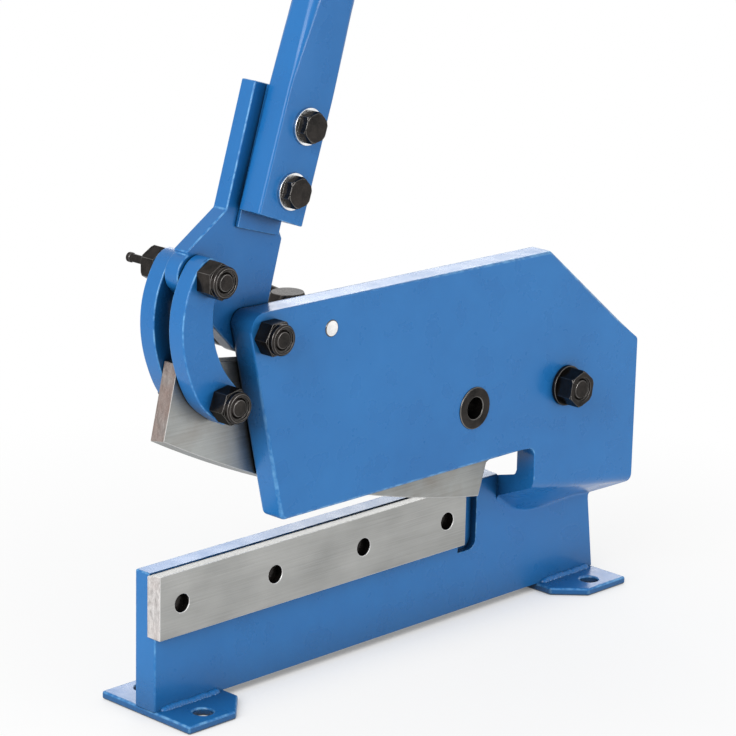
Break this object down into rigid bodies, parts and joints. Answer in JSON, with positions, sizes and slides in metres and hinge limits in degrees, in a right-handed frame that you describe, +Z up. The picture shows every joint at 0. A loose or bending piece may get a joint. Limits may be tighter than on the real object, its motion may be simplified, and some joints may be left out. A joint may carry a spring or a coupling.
{
  "type": "hand lever shear",
  "caption": "Bench-mounted hand lever shear: a joggled plate body, a long handle and paired links that swing a curved upper blade past a bolted lower blade.",
  "frame": {"origin": "centre of the four bench holes, on the underside of the feet", "axes": "+X along the blades from the front end to the rear, +Y from the arm's side towards the side the sheet lies on, +Z up"},
  "size_m": [0.463, 0.1587, 1.3069],
  "materials": {
    "blue_paint": "gloss enamel",
    "blade_steel": "ground lengthwise",
    "dark_steel": "black oxide, oiled",
    "bright_steel": "bright zinc",
    "grip_rubber": "matte moulded"
  },
  "bodies": {
    "frame": {"side_frame": "blue_paint", "front_foot": "blue_paint", "rear_foot": "blue_paint", "lower_blade": "blade_steel", "blade_bolt_1": "dark_steel", "blade_bolt_2": "dark_steel", "blade_bolt_3": "dark_steel", "blade_bolt_4": "dark_steel", "bar_bush": "dark_steel", "bracket_stud": "bright_steel", "fulcrum_bolt": "dark_steel", "fulcrum_nut": "dark_steel", "fulcrum_spacer": "dark_steel", "blade_pivot_bolt": "dark_steel", "blade_pivot_nut": "dark_steel", "blade_pivot_washer": "dark_steel", "hold_down_bracket": "blue_paint"},
    "lever": {"lever_plate": "blue_paint", "handle_pad": "blue_paint", "handle_bar": "blue_paint", "handle_grip": "grip_rubber", "handle_bolt_1": "dark_steel", "handle_bolt_2": "dark_steel", "handle_washer_1": "bright_steel", "handle_washer_2": "bright_steel", "handle_nut_1": "dark_steel", "handle_nut_2": "dark_steel"},
    "links": {"near_link": "blue_paint", "far_link": "blue_paint", "upper_link_bolt": "dark_steel", "upper_link_nut": "dark_steel", "grease_nipple": "dark_steel", "lower_link_bolt": "dark_steel", "lower_link_stud": "dark_steel", "lower_link_nut": "dark_steel"},
    "blade": {"upper_blade": "blade_steel", "blade_link_pin": "dark_steel"},
    "hold_down": {"hold_down_screw": "dark_steel", "tommy_bar": "dark_steel", "hold_down_foot": "dark_steel"}
  },
  "joints": [
    {"name": "lever_swing", "type": "hinge", "parent": "frame", "child": "lever", "pos_m": [-0.164, -0.0238, 0.2674], "axis": [0, -1, 0], "range_deg": [0, 86.4]},
    {"name": "link_swing", "type": "hinge", "parent": "lever", "child": "links", "pos_m": [-0.211, -0.0238, 0.3128], "axis": [0, -1, 0], "range_deg": [-86.4, 0]},
    {"name": "blade_swing", "type": "hinge", "parent": "frame", "child": "blade", "pos_m": [0.1383, -0.0238, 0.177], "axis": [0, -1, 0], "range_deg": [0, 15.13]},
    {"name": "hold_down_slide", "type": "slide", "parent": "frame", "child": "hold_down", "axis": [0, 0, -1], "range_m": [0, 0.04]}
  ],
  "couplings": [
    {"joint": "link_swing", "follows": "lever_swing", "ratio": -1},
    {"joint": "blade_swing", "follows": "lever_swing", "ratio": 0.17504}
  ]
}
